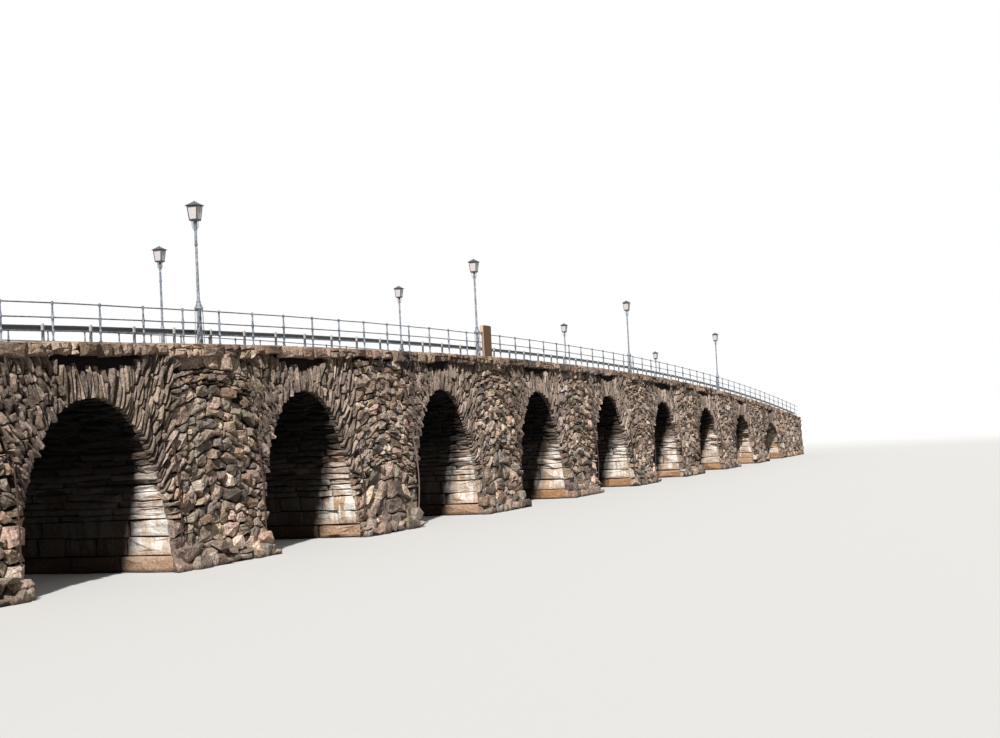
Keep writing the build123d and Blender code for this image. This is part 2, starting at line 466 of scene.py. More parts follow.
class Shape:
    """The points, faces, colours and material numbers of one joined mesh."""

    def __init__(self):
        self.points, self.faces, self.colours, self.kinds = [], [], [], []

    def add(self, points, faces, colour=grey(1.0), kind=0):
        """Adds points and the faces between them."""
        base = len(self.points)
        self.points += points
        self.faces += [tuple(base + i for i in face) for face in faces]
        self.colours += [colour] * len(points)
        self.kinds += [kind] * len(faces)

    def add_rings(self, points, count, colour=grey(1.0), kind=0):
        """Adds rings of so many points, each ring joined to the next, and closes both ends."""
        last = len(points) - count
        faces = [
            (n + k, n + (k + 1) % count, n + count + (k + 1) % count, n + count + k)
            for n in range(0, last, count) for k in range(count)
        ]
        self.add(points, [*faces, tuple(range(count)), tuple(range(last, last + count))], colour, kind)

    def make(self, name, materials, closed=True, round_under=0):
        """The object of the shape: closed shapes are turned outside out, and joins
        of faces under an angle, in degrees, are shaded round."""
        mesh = bpy.data.meshes.new(name)
        mesh.from_pydata(self.points, [], self.faces)
        mesh.polygons.foreach_set("material_index", self.kinds)
        tone = mesh.attributes.new("own_colour", "FLOAT_COLOR", "POINT")
        tone.data.foreach_set("color", [value for colour in self.colours for value in colour])
        for material in materials:
            mesh.materials.append(material)
        if closed:
            work = bmesh.new()
            work.from_mesh(mesh)
            bmesh.ops.recalc_face_normals(work, faces=work.faces)
            work.to_mesh(mesh)
            work.free()
        if round_under:
            mesh.shade_smooth()
            mesh.set_sharp_from_angle(angle=math.radians(round_under))
        piece = bpy.data.objects.new(name, mesh)
        bpy.context.scene.collection.objects.link(piece)
        return piece


stone_hues = [srgb(text) for text in (
    "#b09a89", "#ab9282", "#b8a38f", "#a28f81", "#b79f90", "#a89a8c", "#9b9088",
    "#a18573", "#c8b4a4", "#918379", "#ac9882", "#86776d", "#ae9787", "#a09281",
)]
fan_hues = [srgb(text) for text in ("#a08d80", "#918074", "#a99688", "#84756c", "#988478", "#b09d90")]
stone_depth = 0.024
core_depth = 0.019
least_area, least_edge, long_edge = 1.2e-5, 0.0025, 0.026
deepest, proudest, left_fan_proudest = -0.013, 0.016, 0.006
left_fan_sine = -0.2
peaked_size, faceted_size = 0.018, 0.032


def stone_colour(draw, lift=1.0, hues=stone_hues):
    """One stone's own colour: a hue of the quarry, a little lighter or darker."""
    hue = draw.choice(hues)
    value = draw.uniform(0.57, 1.46) * lift
    return (hue[0] * value, hue[1] * value * draw.uniform(0.97, 1.02), hue[2] * value, 1.0)


def lay_stone(work, outline, place, draw, colour, rough, arris, ragged, flip, proud=0.0, edge_on=None):
    """Adds a stone: sides from behind the face, worn arrises, and a face split in two planes,
    which meet along its length where it is a slab on edge. The slabs on the left of a vault
    are broken across as well, and stand out less."""
    cx, cz, area = spread_of(outline)
    if abs(area) < least_area:
        return
    size = math.sqrt(abs(area))
    ring = []
    ax, az = outline[-1]
    for bx, bz in outline:
        length = math.hypot(bx - ax, bz - az)
        if length < least_edge:
            continue
        if length > long_edge:
            nudge = draw.uniform(-ragged, ragged * 0.6) * min(length, 0.06)
            share = draw.uniform(0.35, 0.65)
            mx, mz = ax + (bx - ax) * share, az + (bz - az) * share
            ring.append((mx + (bz - az) / length * nudge, mz - (bx - ax) / length * nudge))
        ring.append((bx, bz))
        ax, az = bx, bz
    count = len(ring)
    if count < 3:
        return
    turn = draw.uniform(0, math.tau)
    planes = []
    for _ in range(2):
        turn += draw.uniform(2.0, 4.3)
        steep = (0.08 + abs(draw.gauss(0, 0.5))) * rough
        planes.append((math.cos(turn) * steep, math.sin(turn) * steep))
    most = proudest
    if edge_on:
        c, s = edge_on
        left = c <= left_fan_sine
        planes = []
        for way in (-1, 1):
            steep, lean = draw.uniform(0.1, 1.0), draw.gauss(0, 0.42 if left else 0.18)
            planes.append((-s * steep * way + c * lean, c * steep * way + s * lean))
        most = left_fan_proudest if left else proudest
    stand = proud + draw.uniform(-0.008, 0.006) * rough

    def split(x, z):
        """How far the split face stands out at a place."""
        low = min((x - cx) * a + (z - cz) * b for a, b in planes)
        return min(max(stand + low + size * 0.09 * rough, deepest), most)

    def on_face(x, z, share, uneven):
        """A point of the face, drawn in to a share of the outline, at an uneven height."""
        u, v = cx + (x - cx) * share, cz + (z - cz) * share
        return place(u, v, split(u, v) + draw.uniform(*uneven) * rough)

    inset = min(0.4, arris * draw.uniform(0.7, 1.6) / size * 2)
    points = [place(x, z, -stone_depth) for x, z in ring]
    points += [place(x, z, split(x, z) - arris * draw.uniform(0.5, 1.7)) for x, z in ring]
    points += [on_face(x, z, 1 - inset, (-0.0014, 0.0014)) for x, z in ring]
    if size > faceted_size:
        points += [on_face(x, z, draw.uniform(0.4, 0.7), (-0.0034, 0.0028)) for x, z in ring]
    last = len(points) - count
    faces = [
        (n + i, n + (i + 1) % count, n + count + (i + 1) % count, n + count + i)
        for n in range(0, last, count) for i in range(count)
    ]
    if size > peaked_size:
        off_x, off_z = draw.uniform(-0.12, 0.12) * size, draw.uniform(-0.12, 0.12) * size
        top = split(cx + off_x, cz + off_z) + size * draw.uniform(-0.05, 0.07) * rough
        points.append(place(cx + off_x, cz + off_z, top))
        faces += [(last + i, last + (i + 1) % count, last + count) for i in range(count)]
    else:
        faces.append(tuple(range(last, last + count)))
    if flip:
        faces = [tuple(reversed(face)) for face in faces]
    work.add(points, faces, colour)


def add_node(tree, kind, inputs=None, **settings):
    """Adds a shader node, with its properties and its inputs or links."""
    node = tree.nodes.new("ShaderNode" + kind)
    for key, value in settings.items():
        setattr(node, key, value)
    for key, value in (inputs or {}).items():
        if isinstance(value, bpy.types.NodeSocket):
            tree.links.new(value, node.inputs[key])
        else:
            node.inputs[key].default_value = value
    return node


def new_material(name, roughness):
    """A material at the roughness of the real stuff, with its nodes, its shader and the place on the part."""
    material = bpy.data.materials.new(name)
    material.use_nodes = True
    tree = material.node_tree
    shader = tree.nodes["Principled BSDF"]
    shader.inputs["Roughness"].default_value = roughness
    return material, tree, shader, add_node(tree, "NewGeometry").outputs["Position"]


def dress(tree, shader, colour, height, strength, distance, **under):
    """Gives a shader its colour and its relief, which may lie over a coarser one."""
    tree.links.new(colour, shader.inputs["Base Color"])
    relief = add_node(tree, "Bump", {"Height": height, "Strength": strength, "Distance": distance, **under})
    tree.links.new(relief.outputs["Normal"], shader.inputs["Normal"])


def maths(tree, operation, *values):
    """The result of an operation on values."""
    return add_node(tree, "Math", dict(enumerate(values)), operation=operation).outputs[0]


def blend(tree, share, first, second, kind="MIX"):
    """The colour between two colours, or their product."""
    mix = add_node(tree, "Mix", {0: share, 6: first, 7: second}, data_type="RGBA", blend_type=kind)
    return mix.outputs[2]


def times(tree, colour, value):
    """A colour multiplied by another or by a value."""
    return blend(tree, 1.0, colour, value, "MULTIPLY")


def between(tree, value, start, end, top=1.0, bottom=0.0):
    """A value turned from one range to another and kept inside it."""
    return add_node(tree, "MapRange", {
        "Value": value, "From Min": start, "From Max": end, "To Min": bottom, "To Max": top,
    }).outputs["Result"]


def noise(tree, place, size, detail=5.0, roughness=0.6):
    """Noise with lumps of a size in metres of the model."""
    return add_node(tree, "TexNoise", {
        "Vector": place, "Scale": 1 / size, "Detail": detail, "Roughness": roughness,
    }).outputs["Fac"]


def own_colour(tree):
    """The colour that a mesh carries for each of its stones or bars."""
    return add_node(tree, "Attribute", attribute_name="own_colour").outputs["Color"]


def quarry_stone(name, lichen=0.0, barrel=False, tide=0.0):
    """Split field stone: matt, grainy and mottled, with lichen, old soot and a wet line at its foot.
    In the vaults it is darkened by painted shade away from the light and towards the crown, streaked
    white with lime at the arrises and stained rust-brown low down."""
    material, tree, shader, place = new_material(name, 0.9)
    # a dry split face keeps little of its shine
    shader.inputs["Specular IOR Level"].default_value = 0.2
    axes = add_node(tree, "SeparateXYZ", {"Vector": place}).outputs
    # mottling of about 80 mm and soot patches of about 1.1 m on the real stone
    bright, deep = (1.15, 0.72) if barrel else (1.5, 0.36)
    mottle = between(tree, noise(tree, place, 0.008, 8.0, 0.75), 0.36, 0.64, bright, deep)
    soot = between(tree, noise(tree, place, 0.11, 4.0), 0.38, 0.6, 1.12, 0.9 if barrel else 0.62)
    result = times(tree, times(tree, own_colour(tree), mottle), soot)
    if lichen:
        # lichen spots of about 0.1 m in patches of about 2 m, yellow-grey, thicker towards the coping
        spots = between(tree, noise(tree, place, 0.010, 7.0, 0.72), 0.50, 0.60, lichen)
        patches = between(tree, noise(tree, place, 0.2, 4.0), 0.42, 0.58)
        height = between(tree, axes["Z"], 0.25, 0.6, 1.0, 0.25)
        share = maths(tree, "MULTIPLY", maths(tree, "MULTIPLY", spots, patches), height)
        result = blend(tree, share, result, srgb("#a09066"))
    if barrel:
        # lime over thin beds of about 0.9 m by 0.3 m, and running about 2 m down the blocks under them
        for size, foot, top, most in (
            ((0.09, 0.09, 0.03), (0.16, 0.20), (0.33, 0.29), 0.95),
            ((0.035, 0.035, 0.20), (0.05, 0.08), (0.25, 0.19), 0.9),
        ):
            runs = add_node(tree, "Mapping", {"Vector": place, "Scale": [1 / length for length in size]})
            milk = add_node(tree, "TexNoise", {"Vector": runs.outputs["Vector"], "Scale": 1.0, "Detail": 5.0})
            patch = between(tree, milk.outputs["Fac"], 0.50, 0.56, most)
            band = maths(tree, "MULTIPLY", between(tree, axes["Z"], *foot), between(tree, axes["Z"], *top))
            result = blend(tree, maths(tree, "MULTIPLY", band, patch), result, srgb("#e4dcd2"))
    # streaks of about 0.1 m in the brown stain, and a dark wet line under it
    streaks = between(tree, noise(tree, place, 0.010, 6.0, 0.7), 0.35, 0.6, tide, tide * 0.5)
    stain = maths(tree, "MULTIPLY", between(tree, axes["Z"], 0.085, 0.035), streaks)
    result = blend(tree, stain, result, srgb("#8a5c30"))
    result = blend(tree, between(tree, axes["Z"], 0.016, 0.005, 0.7), result, srgb("#2a211b"))
    if barrel:
        # painted shade: darker deeper inside the vault, behind the line of the sun's shadow, which lies
        # nearer to the arris the higher it is, and darker again towards the crown
        depth, lift = maths(tree, "ABSOLUTE", axes["Y"]), maths(tree, "MULTIPLY", axes["Z"], 0.3)
        painted_inner_shade = between(tree, maths(tree, "SUBTRACT", depth, lift), 0.275, 0.325, 1.0, 0.13)
        painted_crown_shade = between(tree, axes["Z"], 0.30, 0.40, 0.22, 1.0)
        result = times(tree, times(tree, result, painted_inner_shade), painted_crown_shade)
    # hackly splits of about 0.15 m and grain of about 30 mm on the real stone
    splits = add_node(tree, "Bump", {
        "Height": noise(tree, place, 0.015, 4.0, 0.6), "Strength": 1.0, "Distance": 0.008,
    })
    grain = noise(tree, place, 0.003, 8.0, 0.65)
    dress(tree, shader, result, grain, 0.9, 0.0025, Normal=splits.outputs["Normal"])
    return material


# Earth and old mortar deep in the joints, with clods of about 60 mm on the real wall, coloured near black
# partly as painted shade in the joints and in the recesses under the coping
joint_earth_and_painted_shade, tree, shader, place = new_material("joint_earth_and_painted_shade", 1.0)
shader.inputs["Specular IOR Level"].default_value = 0.1
clods = noise(tree, place, 0.006, 6.0)
earth = blend(tree, between(tree, clods, 0.35, 0.7), srgb("#0c0a09"), srgb("#221c18"))
dress(tree, shader, earth, clods, 0.8, 0.003)

wall_stone = quarry_stone("split_rubble", lichen=0.5, tide=0.2)
end_depth = 0.028
line_room = 0.004


def hearting(node):
    """The core of a masonry node: its own shape, drawn in behind the stones."""
    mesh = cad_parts[node].data.copy()
    mesh.name = f"{node}_hearting"
    work = bmesh.new()
    work.from_mesh(mesh)
    bmesh.ops.remove_doubles(work, verts=work.verts, dist=1e-5)
    for vertex in work.verts:
        x, y, z = vertex.co
        inner = face_line(z) - core_depth
        vertex.co.y = max(-inner, min(inner, y))
        vertex.co.x = max(end_depth - bridge_end, min(bridge_end - end_depth, x))
        vault = min(vaults, key=lambda v: abs(v.x - x))
        if z < vault.crown + line_room and abs(x - vault.x) < vault.half_width(z) + line_room:
            (px, pz), (nx, nz) = vault.edge(x, z)
            vertex.co.x = px + nx * core_depth
            vertex.co.z = max(z if nz < 0.01 else pz + nz * core_depth, 0)
    work.to_mesh(mesh)
    work.free()
    mesh.materials.clear()
    # the core takes the near-black joint colour: painted shade behind the stones and under the coping
    mesh.materials.append(joint_earth_and_painted_shade)
    core = bpy.data.objects.new(f"{node}_hearting", mesh)
    bpy.context.scene.collection.objects.link(core)
    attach(core, "root")
    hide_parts(node)


fan_look = {"rough": 0.9, "arris": 0.0018, "ragged": 0.05, "proud": -0.002}
rubble_look = {"rough": 1.15, "arris": 0.0028, "ragged": 0.10, "proud": -0.002}
lost_share, lost_height = 0.012, 0.02
end_room = 0.004
wall_shapes = {}
for side, hand in sides.items():
    draw = random.Random(f"walls {side}")
    sites = []
    for number, vault in enumerate(vaults):
        sites += fan_sites(vault, draw)
        sites += quoin_sites(vault, -1, wall_nodes[number], draw)
        sites += quoin_sites(vault, 1, wall_nodes[number + 1], draw)
    for node, x in pier_places.items():
        sites += rubble_sites(node, x, x - chord, x + chord, wall_top(x), True, free_wall, draw)
    for node, low_x, high_x in (
        ("abutment_left", -bridge_end, vaults[0].x), ("abutment_right", vaults[-1].x, bridge_end),
    ):
        sites += rubble_sites(node, 0, low_x, high_x, wall_top(vaults[0].x), False, free_wall, draw)

    def on_wall(x, z, out, hand=hand):
        """A point of a side wall, at a distance out from its face."""
        return (max(-bridge_end, min(bridge_end, x)), hand * (face_line(z) + out), max(z + batter * out, 0))

    for site, outline in grow_stones(sites, wall_limits):
        fan = site.owner.startswith("arch")
        if not fan and site.height < lost_height and draw.random() < lost_share:
            continue
        work = wall_shapes.setdefault(site.owner, Shape())
        if fan:
            colour = stone_colour(draw, 0.85, fan_hues)
            lay_stone(work, outline, on_wall, draw, colour, flip=hand > 0, edge_on=site.axis, **fan_look)
        else:
            lay_stone(work, outline, on_wall, draw, stone_colour(draw), flip=hand > 0, **rubble_look)

for node, hand in (("abutment_left", -1), ("abutment_right", 1)):
    draw = random.Random(f"end {node}")

    def on_end(y, z, out, hand=hand):
        """A point of an end wall, at a distance out from its face."""
        return (hand * min(bridge_end - end_margin + end_room + out, bridge_end), y, max(z, 0))

    def free_end(y, z):
        """Whether a place of an end wall is behind its outline."""
        return foot_room < z < wall_top(bridge_end) - top_room and abs(y) < face_line(z) - 0.01

    top = wall_top(bridge_end)
    sites = rubble_sites(node, 0, -base_half_width, base_half_width, top, False, free_end, draw)
    for site, outline in grow_stones(sites, end_limits, 2.0, 2.4):
        lay_stone(wall_shapes[node], outline, on_end, draw, stone_colour(draw), flip=hand < 0, **rubble_look)

for node, work in wall_shapes.items():
    stones = work.make(f"{node}_stones", [wall_stone], closed=False)
    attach(stones, "root")
    hearting(node)

# Barrels of the vaults: thin beds of stone laid along the width of the bridge. The
# jambs below them are of larger squared blocks, on a plinth course that stands out.
barrel_stone = quarry_stone("barrel_stone", barrel=True, tide=0.78)
barrel_proud, plinth_proud = -0.002, 0.005
barrel_margin = 0.014
barrel_gap = 0.0018
jamb_hues = [srgb(text) for text in ("#cdb6a2", "#c6ad97", "#c0a389", "#d2beab", "#bb9b7d")]
pale_top = 0.25
path_steps = 14


def vault_path(vault):
    """Points of the vault's line from its left foot over the crown to its right foot."""
    right = [(vault.x + span / 2, 0.0), (vault.x + span / 2, spring_height)]
    for n in range(1, path_steps + 1):
        turn = haunch_turn * n / path_steps
        right.append((vault.x + span / 2 - vault.side_radius * (1 - math.cos(turn)),
                      spring_height + vault.side_radius * math.sin(turn)))
    for n in range(1, path_steps + 1):
        turn = haunch_turn + (math.pi / 2 - haunch_turn) * n / path_steps
        right.append((vault.x + vault.crown_radius * math.cos(turn),
                      vault.crown - vault.crown_radius * (1 - math.sin(turn))))
    left = [(2 * vault.x - x, z) for x, z in right[:-1]]
    return left + right[::-1]


for vault in vaults:
    draw = random.Random(f"barrel {vault.node}")
    path = vault_path(vault)
    lengths = [0.0]
    for (ax, az), (bx, bz) in zip(path, path[1:]):
        lengths.append(lengths[-1] + math.hypot(bx - ax, bz - az))

    def on_barrel(s, y, out, path=path, lengths=lengths):
        """A point of the barrel, from the length along its line and the place across the bridge."""
        s = min(max(s, 0.0), lengths[-1])
        i = next(k for k in range(1, len(lengths)) if lengths[k] >= s - 1e-9)
        (ax, az), (bx, bz) = path[i - 1], path[i]
        run = lengths[i] - lengths[i - 1]
        share = (s - lengths[i - 1]) / run
        nx, nz = (bz - az) / run, -(bx - ax) / run
        return (ax + (bx - ax) * share + nx * out, y, max(az + (bz - az) * share + nz * out, 0.0))

    def rise_length(level, path=path, lengths=lengths):
        """Length along the left half of the line at which it reaches a height."""
        i = next(k for k in range(1, len(path)) if path[k][1] >= level)
        share = (level - path[i - 1][1]) / (path[i][1] - path[i - 1][1])
        return lengths[i - 1] + share * (lengths[i] - lengths[i - 1])

    beds = [rise_length(level) for level in jamb_levels(vault, -1)]
    right = [lengths[-1] - rise_length(level) for level in jamb_levels(vault, 1)]
    while beds[-1] < right[-1] - 0.04:
        beds.append(beds[-1] + draw.uniform(0.016, 0.030))
    beds += reversed(right)
    work = Shape()
    for low, high in zip(beds, beds[1:]):
        z = on_barrel((low + high) / 2, 0, 0)[2]
        jamb = z < jamb_top
        reach = face_line(z) - barrel_margin
        y = -reach
        while y < reach - 0.01:
            length = draw.uniform(0.09, 0.22) if jamb else draw.uniform(0.06, 0.16)
            end = y + length if reach - y - length > 0.05 else reach
            outline = [
                (s + draw.uniform(-0.0016, 0.0016), t + draw.uniform(-0.002, 0.002))
                for s, t in (
                    (low + barrel_gap, y + barrel_gap), (high - barrel_gap, y + barrel_gap),
                    (high - barrel_gap, end - barrel_gap), (low + barrel_gap, end - barrel_gap),
                )
            ]
            colour = draw.choice(jamb_hues) if z < pale_top else stone_colour(draw)
            lay_stone(work, outline, on_barrel, draw, colour, rough=0.55 if jamb else 0.8, arris=0.0034,
                      ragged=0.035, flip=True, proud=plinth_proud if z < plinth_height else barrel_proud)
            y = end
    barrel = work.make(f"{vault.node}_barrel", [barrel_stone], closed=False)
    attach(barrel, "root")

# Toes of the piers: field boulders tipped along their feet, in two rows, with a few
# flat slabs among them.
toe_stone = quarry_stone("toe_boulders")
toe_reach = 0.529
toe_rows = ((0.484, 0.052, 0.034), (0.500, 0.014, 0.042))
flat_share = 0.18
toe_start, toe_stop = 0.02, 0.01
pier_half = (bay - span) / 2


def boulder(work, middle, radii, draw, colour, hand):
    """Adds a rock: the hull of points strewn over a blunt block, cut flat at its foot."""
    hull = bmesh.new()
    for _ in range(14):
        way = Vector((draw.gauss(0, 1), draw.gauss(0, 1), draw.gauss(0, 1))).normalized()
        way = [math.copysign(abs(w) ** 0.6, w) for w in way]
        x, y, z = (m + w * r * draw.uniform(0.78, 0.98) for m, w, r in zip(middle, way, radii))
        hull.verts.new((x, hand * min(y, toe_reach), max(z, 0.0)))
    bmesh.ops.convex_hull(hull, input=hull.verts)
    numbers = {vertex: n for n, vertex in enumerate(hull.verts)}
    points = [tuple(vertex.co) for vertex in hull.verts]
    faces = [tuple(numbers[vertex] for vertex in face.verts) for face in hull.faces]
    hull.free()
    work.add(points, faces, colour)


for node, x in pier_places.items():
    work = Shape()
    for side, hand in sides.items():
        draw = random.Random(f"toe {node} {side}")
        for line, lift, radius in toe_rows:
            place_x = x - pier_half + toe_start
            while place_x < x + pier_half - toe_stop:
                long = radius * draw.uniform(0.75, 1.7)
                flat = draw.random() < flat_share
                boulder(
                    work, (place_x, line + draw.uniform(-0.006, 0.006), lift * draw.uniform(0.5, 1.25)),
                    (long, 0.032 * draw.uniform(0.8, 1.1),
                     radius * (0.35 if flat else draw.uniform(0.7, 1.05))),
                    draw, stone_colour(draw, draw.uniform(0.8, 1.05)), hand,
                )
                place_x += long * draw.uniform(1.0, 1.5)
        if node == "pier_04" and side == "front":
            # the one pale slab that lies flat beside the arris in the photograph
            middle, radii = (x + pier_half + 0.002, 0.492, 0.008), (0.052, 0.036, 0.017)
            boulder(work, middle, radii, draw, srgb("#b7a890"), hand)
    toe = work.make(f"{node}_toe", [toe_stone])
    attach(toe, "root")

# Roadway: worn asphalt with its gravel showing, between the copings. Its shape is
# the CAD's own.
road_surface, tree, shader, place = new_material("worn_asphalt", 0.95)
# gravel of about 12 mm, stains of about 0.3 m and patches of about 2 m on the real road, and
# two pairs of wheel tracks polished pale
gravel = noise(tree, place, 0.0012, 3.0)
result = blend(tree, between(tree, gravel, 0.35, 0.65), srgb("#5b5854"), srgb("#8b8782"))
stains = between(tree, noise(tree, place, 0.03, 8.0, 0.75), 0.38, 0.62, 1.12, 0.78)
patches = between(tree, noise(tree, place, 0.2, 3.0), 0.45, 0.55, 1.0, 0.9)
result = times(tree, times(tree, result, stains), patches)
lane = maths(tree, "PINGPONG", add_node(tree, "SeparateXYZ", {"Vector": place}).outputs["Y"], 0.16)
off = maths(tree, "ABSOLUTE", maths(tree, "SUBTRACT", lane, 0.08))
result = blend(tree, between(tree, off, 0.035, 0.01, 0.14), result, srgb("#a39e97"))
dress(tree, shader, result, gravel, 0.5, 0.0006)
road_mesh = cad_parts["roadway"].data
road_mesh.materials.clear()
road_mesh.materials.append(road_surface)

# Copings: rough slabs a metre or two long, laid flat along both edges over a bed of
# mortar. Their outer faces are as quarried and their undersides uneven.
coping_stone = quarry_stone("coping_slabs", lichen=0.45)
coping_hues = [srgb(text) for text in (
    "#b39a89", "#9c8779", "#bda793", "#8f827a", "#a8907c", "#85786f", "#ad8f80",
)]
coping_inner, coping_bevel, coping_outer = 0.3895, 0.444, 0.452
coping_face, coping_limit = 0.4675, 0.4795
coping_skin, face_drop, bevel_drop, coping_back = 0.0004, 0.0006, 0.0016, 0.033
coping_joint = 0.0008
coping_ends = 0.0015
coping_column = 0.026
layered_share = 0.4
coping_look = {"rough": 1.0, "arris": 0.0065, "ragged": 0.045}


def coping_slab(work, start, end, hand, draw):
    """Adds one coping slab, with its underside uneven and its outer face split as the quarry left it,
    in one bed or in two."""
    colour = toned(draw.choice(coping_hues), draw.uniform(0.6, 1.15))
    columns = max(2, round((end - start) / coping_column))
    drop = draw.uniform(0.030, 0.040)
    slope = draw.uniform(-0.02, 0.02)
    points = []
    for n in range(columns + 1):
        x = start + (end - start) * n / columns
        top = road_height(x)
        edge = 0.004 if n in (0, columns) else 0.0
        low = drop + slope * (x - start) + draw.uniform(-0.006, 0.005) - edge
        points += [
            (x, hand * coping_inner, top - coping_back),
            (x, hand * coping_inner, top - coping_skin),
            (x, hand * coping_bevel, top - coping_skin),
            (x, hand * (coping_outer - draw.uniform(0, 0.003)), top - bevel_drop),
            (x, hand * (coping_outer - draw.uniform(0, 0.003)), top - low + 0.004),
            (x, hand * coping_bevel, top - low),
        ]
    work.add_rings(points, 6, colour)

    def on_coping(x, z, out):
        """A point of the coping's outer face, at a distance out from it."""
        return (max(-bridge_end, min(bridge_end, x)), hand * min(coping_face + out, coping_limit),
                road_height(x) + min(z, -face_drop))

    beds = [(-coping_joint, draw.uniform(-0.048, -0.033))]
    if draw.random() < layered_share:
        cut = draw.uniform(-0.023, -0.014)
        beds = [(-coping_joint, cut), (cut, draw.uniform(-0.048, -0.034))]
    for high, low in beds:
        x = start
        while x < end - 0.004:
            length = draw.uniform(0.05, 0.15) if len(beds) == 1 else draw.uniform(0.025, 0.08)
            stop = x + length if end - x - length > 0.03 else end
            first, last = x + coping_joint, stop - coping_joint
            outline = [(u + draw.uniform(-0.003, 0.001) * (1 if u > x + 0.01 else -1),
                        v + draw.uniform(-0.005, 0.004) * (v < -0.01))
                       for u, v in ((first, low), (last, low), (last, high), (first, high))]
            tone = toned(colour, draw.uniform(0.8, 1.2))
            lay_stone(work, outline, on_coping, draw, tone, flip=hand > 0, **coping_look)
            x = stop


def run_along(work, stations, section, hand, colour=grey(1.0), kind=0):
    """Adds a bar that follows the roadway: a section of distances from the middle and
    heights, carried along stations, each a place along the bridge and a lift."""
    points = [(x, hand * y, road_height(x) + lift + z) for x, lift in stations for y, z in section]
    work.add_rings(points, len(section), colour, kind)


chord_ends = [-bridge_end, *(n * chord for n in range(-13, 14)), bridge_end]
bed_end = bridge_end - 0.01
coping_bed = [(0.392, -0.032), (0.392, -0.005), (0.449, -0.005), (0.449, -0.032)]
for side, hand in sides.items():
    draw = random.Random(f"coping {side}")
    work = Shape()
    x = -bridge_end
    while x < bridge_end - 0.001:
        end = x + draw.uniform(0.09, 0.25)
        if bridge_end - end < 0.08:
            end = bridge_end
        start = x + (coping_ends if x > -bridge_end else 0)
        coping_slab(work, start, end - (coping_ends if end < bridge_end else 0), hand, draw)
        x = end
    run_along(work, [(max(-bed_end, min(bed_end, x)), 0) for x in chord_ends], coping_bed, hand, kind=1)
    coping = work.make(f"coping_{side}_slabs", [coping_stone, joint_earth_and_painted_shade])
    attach(coping, "root")
    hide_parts(f"coping_{side}")

# Memorial slab: a plate of brown granite set upright on the coping at the crest. Its
# broad faces are dressed, its narrow sides and top are as split and made paler as a painted
# highlight, and its back is hewn off thinner under the head.
granite, tree, shader, place = new_material("brown_granite", 0.8)
shader.inputs["Specular IOR Level"].default_value = 0.3
# crystals of about 15 mm and clouds of about 0.3 m on the real slab
crystal = add_node(tree, "TexVoronoi", {"Vector": place, "Scale": 1 / 0.0015})
fleck = add_node(tree, "SeparateColor", {"Color": crystal.outputs["Color"]}).outputs["Red"]
result = blend(tree, between(tree, fleck, 0.1, 0.9), srgb("#4c3628"), srgb("#866348"))
result = blend(tree, between(tree, noise(tree, place, 0.03), 0.4, 0.65, 0.45), result, srgb("#674c39"))
# painted highlight: the narrow sides and top made paler, where the sun catches them, while the dressed faces
# keep the darker brown
painted_highlight_sides = add_node(tree, "NewGeometry").outputs["True Normal"]
painted_highlight_sides = maths(tree, "ABSOLUTE", add_node(tree, "SeparateXYZ", {"Vector": painted_highlight_sides}).outputs["Y"])
result = blend(tree, between(tree, painted_highlight_sides, 0.97, 0.9, 0.9), result, srgb("#cbb09e"))
dress(tree, shader, result, noise(tree, place, 0.004), 0.35, 0.001)
slab_low, slab_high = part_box("memorial_slab")
slab_middle, slab_half = (slab_low + slab_high) / 2, (slab_high - slab_low) / 2
slab_levels = 9
hewn_top, hewn_depth = 0.75, 0.3
slab_outline = [(-1, -0.8), (-0.97, -1), (-0.5, -1), (0, -1), (0.5, -1), (0.97, -1), (1, -0.8),
                (1, 0.8), (0.97, 1), (0.5, 1), (0, 1), (-0.5, 1), (-0.97, 1), (-1, 0.8)]
draw = random.Random("memorial slab")
points = []
for n in range(slab_levels + 1):
    share = n / slab_levels
    widen = 0.985 + 0.03 * share**2
    for u, v in slab_outline:
        uneven = 0.0012 if abs(u) in (1, 0.97) else 0.0003
        hewn = hewn_depth * slab_half.x if share < hewn_top and v > 0 and u < -0.9 else 0
        worn = 0.0015 if n == slab_levels and abs(u) > 0.9 else 0
        points.append((
            slab_middle.x + u * slab_half.x * widen + hewn + draw.uniform(-uneven, uneven),
            slab_middle.y + v * (slab_half.y - 0.0004) + draw.uniform(-0.0003, 0.0003),
            slab_low.z + (slab_high.z - slab_low.z) * share - worn,
        ))
work = Shape()
work.add_rings(points, len(slab_outline))
slab = work.make("memorial_plate", [granite])
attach(slab, "root")
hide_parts("memorial_slab")

# Guard beams: black steel beams with a groove along them, bolted low behind short
# posts that are darker below and pale at their heads.
post_pitch, post_shift = 0.24, -0.06
post_places = [n * post_pitch + post_shift for n in range(-39, 40)]
square = ((-1, -1), (1, -1), (1, 1), (-1, 1))


def paint(name, base, worn, rust, roughness, wear):
    """Weathered paint over iron: chalky patches, chips of about 60 mm and a little rust."""
    material, tree, shader, place = new_material(name, roughness)
    chalk = between(tree, noise(tree, place, 0.012, 6.0), 0.42, 0.6, wear)
    spots = between(tree, noise(tree, place, 0.006, 6.0, 0.7), 0.6, 0.66, 0.7)
    result = blend(tree, spots, blend(tree, chalk, srgb(base), srgb(worn)), srgb(rust))
    dress(tree, shader, times(tree, result, own_colour(tree)), noise(tree, place, 0.004), 0.25, 0.0005)
    return material


